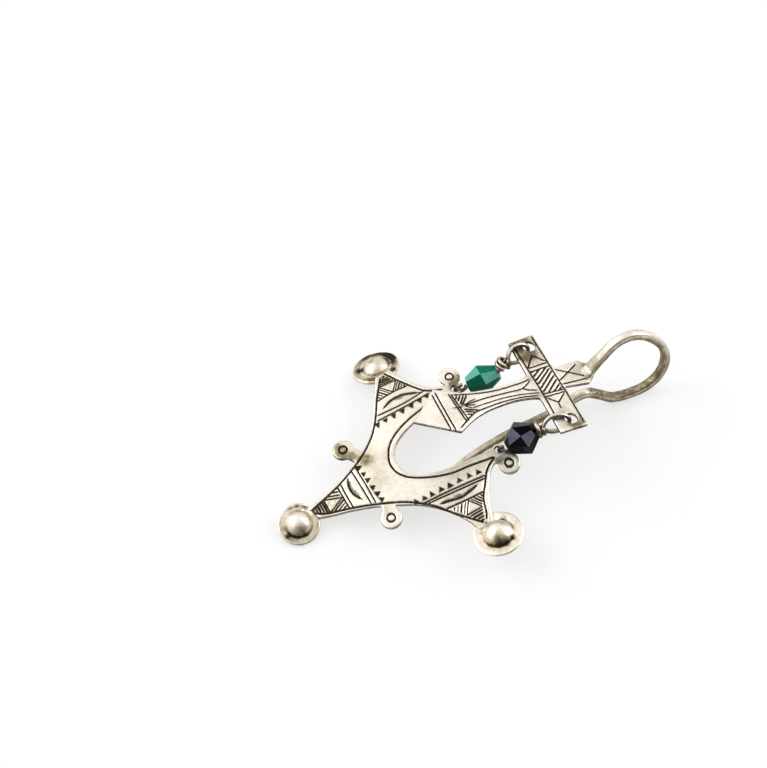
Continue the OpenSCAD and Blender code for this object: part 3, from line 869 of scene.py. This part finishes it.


# Old silver: bright where it is worn, warm where it is tarnished, and dark in cuts, along the sheets' rim,
# under thick grime and under painted shade
def silver(name, light, warm, dark, rough, tarnish):
    material, nodes, shader = new_material(name)
    at = nodes.millimetres()
    groove_and_shade, grime_and_shade, wear = nodes.painted("groove_and_shade"), nodes.painted("grime_and_shade"), nodes.painted("wear")
    patches = nodes.cloud(at, 0.3, 5, 0.65).between(0.42, 0.72)
    spots = nodes.cloud(at, 1.5, 4, 0.7).between(0.44, 0.68)
    speckle = nodes.cloud(at, 3.6, 2, 0.6).between(0.35, 0.75)
    grain = nodes.cloud(at, 6.0, 3, 0.6)
    brushed = nodes.cloud(nodes.millimetres(0.9, 7.0, 2.0), 1.4, 3, 0.6)
    # The grime values carry painted shade too, so stain and soot darken painted shade as well as dirt
    broken = (grime_and_shade * (nodes.cloud(at, 0.9, 4, 0.6) + 0.45)).clamped()
    stain_and_shade = (patches * 0.35 + spots * 0.35 + speckle * 0.3) * tarnish + broken * 0.95 - wear * 0.25
    stain_and_shade = stain_and_shade.clamped()
    # The groove values carry the painted shade under the wires as well as the cuts
    cut = (groove_and_shade * 1.3 - nodes.cloud(at, 2.2, 3, 0.6).between(0.4, 0.75) * 0.45).clamped()
    soot_and_shade = (broken.between(0.55, 1.25) * 0.85 + cut).clamped()
    soot_and_shade.colour(stain_and_shade.colour(light, warm), dark).feed(shader, "Base Color")
    (rough + stain_and_shade * 0.14 + cut * 0.3 - wear * 0.08).clamped().feed(shader, "Roughness")
    relief = grain * 0.5 + brushed * 0.5 + spots * 0.7
    nodes.node("Bump", Strength=0.35, Distance=0.00003, Height=relief).feed(shader, "Normal")
    shader.inputs["Metallic"].default_value = 1.0
    return material


# Cut glass: from black over its deep colour to pale, by the painted light on each facet, which stands in for
# its reflections and the light through the glass
def glass(name, black, deep, pale, gloss):
    material, nodes, shader = new_material(name)
    at = nodes.millimetres()
    tone = nodes.painted("tone") * (nodes.cloud(at, 0.8, 3, 0.5) * 0.5 + 0.75)
    body = (tone * 4.0).clamped().colour(black, deep)
    ((tone - 0.25) * 1.4).clamped().colour(body, pale).feed(shader, "Base Color")
    (0.08 + nodes.cloud(at, 2.4, 3, 0.6) * 0.06).feed(shader, "Roughness")
    shader.inputs["Specular IOR Level"].default_value = gloss
    return material


BLACK_TARNISH_AND_SHADE = (0.042, 0.032, 0.02, 1)
plate_silver = silver("engraved silver", (0.97, 0.9, 0.8, 1), (0.43, 0.36, 0.225, 1), BLACK_TARNISH_AND_SHADE, 0.36, 0.6)
hook_silver = silver("hook silver", (0.97, 0.905, 0.81, 1), (0.36, 0.3, 0.185, 1), BLACK_TARNISH_AND_SHADE, 0.36, 0.55)
wire_silver = silver("old wire", (0.94, 0.875, 0.75, 1), (0.19, 0.145, 0.085, 1), (0.02, 0.014, 0.008, 1),
                     0.28, 0.6)
green_glass = glass("green glass", (0.0, 0.03, 0.02, 1), (0.0, 0.135, 0.082, 1), (0.12, 0.39, 0.32, 1), 0.07)
dark_glass = glass("dark glass", (0.0, 0.0, 0.001, 1), (0.008, 0.007, 0.012, 1), (0.15, 0.142, 0.2, 1), 0.05)

pendant.piece("engraved_pendant", plate_silver, "pendant_plate", "silver")
hook.piece("engraved_hook", hook_silver, "ear_hook", "silver")
bead_wire(0).piece("green_wire", wire_silver, "green_bead_wire", "bead_wire")
bead_wire(1).piece("dark_wire", wire_silver, "dark_bead_wire", "bead_wire")
# Each bead's spots set the painted light of its facets
bead_piece(0, "cut_green_bead", green_glass, "green_bead",
           [(-1.35, -50, 1.95, 1), (1.7, 5, 1.9, 0.95), (1.4, -45, 2, 0.24), (1.5, 50, 1.9, 0.2),
            (-1.2, 5, 1.9, 0.13), (2.2, 85, 1.6, 0.3), (-1.3, 50, 1.9, 0.05), (0, 90, 2.2, 0.1)])
bead_piece(1, "cut_dark_bead", dark_glass, "dark_bead",
           [(-0.3, -32, 2.6, 0.9), (1.9, 12, 1.9, 1), (1.6, -42, 2.1, 0), (-0.6, 20, 2.3, 0),
            (1.4, 60, 2.2, 0.2), (1.2, -80, 2.2, 0.45)])

# The floor: white paper that glows a little, 3 m wide
floor_mesh = bpy.data.meshes.new("floor")
floor_mesh.from_pydata([(-1.5, -1.5, 0), (1.5, -1.5, 0), (1.5, 1.5, 0), (-1.5, 1.5, 0)], [], [(0, 1, 2, 3)])
floor = bpy.data.objects.new("floor", floor_mesh)
bpy.context.scene.collection.objects.link(floor)
paper, nodes, shader = new_material("white paper")
fibres = nodes.cloud(nodes.millimetres(), 0.02, 2)
fibres.colour((0.29, 0.29, 0.288, 1), (0.3, 0.3, 0.3, 1)).feed(shader, "Base Color")
shader.inputs["Roughness"].default_value = 0.9
shader.inputs["Emission Color"].default_value = (1, 1, 1, 1)
shader.inputs["Emission Strength"].default_value = 0.63
floor.data.materials.append(paper)

# Two softboxes
LAMP_DISTANCE = 2.5


def lamp(name, towards, size, power):
    data = bpy.data.lights.new(name, "AREA")
    data.shape = "RECTANGLE"
    data.size, data.size_y = size
    data.energy = power
    made = bpy.data.objects.new(name, data)
    way = Vector(towards).normalized()
    made.location = way * LAMP_DISTANCE
    made.rotation_euler = (-way).to_track_quat("-Z", "Y").to_euler()
    bpy.context.scene.collection.objects.link(made)


lamp("left softbox", (-0.53, 0.62, 0.58), (1.9, 1.5), 27.0)
lamp("right softbox", (0.83, -0.17, 0.53), (1.8, 1.5), 26.0)

# The room: bright above the floor and at the back, dark low down and in front
world = bpy.data.worlds.new("studio")
bpy.context.scene.world = world
world.use_nodes = True
sky = Value(world.node_tree)
towards = sky.node("TexCoord", out=0)
height = sky.node("SeparateXYZ", out=2, Vector=towards)
front = sky.node("VectorMath", {"operation": "DOT_PRODUCT"}, 1, i0=towards, i1=(-0.1, -0.97, 0.22))
room = height.between(-0.02, 0.3) + 0.08 - height.between(0.6, 0.95) * 0.2
room = room * (1.0 - front.between(0.3, 0.85) * 0.92)
backdrop = world.node_tree.nodes["Background"]
room.colour((0, 0, 0, 1), (1, 1, 1, 1)).feed(backdrop, "Color")
backdrop.inputs["Strength"].default_value = 1.12

# The camera, 300 mm from the point on the floor that it looks at
CAMERA_AIM = np.array([-6.218, 17.153, 0])
CAMERA_DISTANCE = 300
PHOTO_WIDE_PIXELS, FOCAL_PIXELS = 767, 1725
SENSOR_WIDE = 36
back = Vector(TO_CAMERA)
right = Vector((math.cos(CAMERA_ROUND), -math.sin(CAMERA_ROUND), 0))
spot = Vector((CAMERA_AIM + TO_CAMERA * CAMERA_DISTANCE) * MM)
view = bpy.data.cameras.new("photo view")
view.sensor_fit = "HORIZONTAL"
view.sensor_width = SENSOR_WIDE
view.lens = SENSOR_WIDE * FOCAL_PIXELS / PHOTO_WIDE_PIXELS
view.clip_start = 0.01
view.clip_end = 10
camera = bpy.data.objects.new("photo view", view)
turned = Matrix((right, back.cross(right), back)).transposed()
camera.matrix_world = Matrix.Translation(spot) @ turned.to_4x4()
bpy.context.scene.collection.objects.link(camera)
bpy.context.scene.camera = camera
bpy.context.scene.view_settings.view_transform = "Standard"
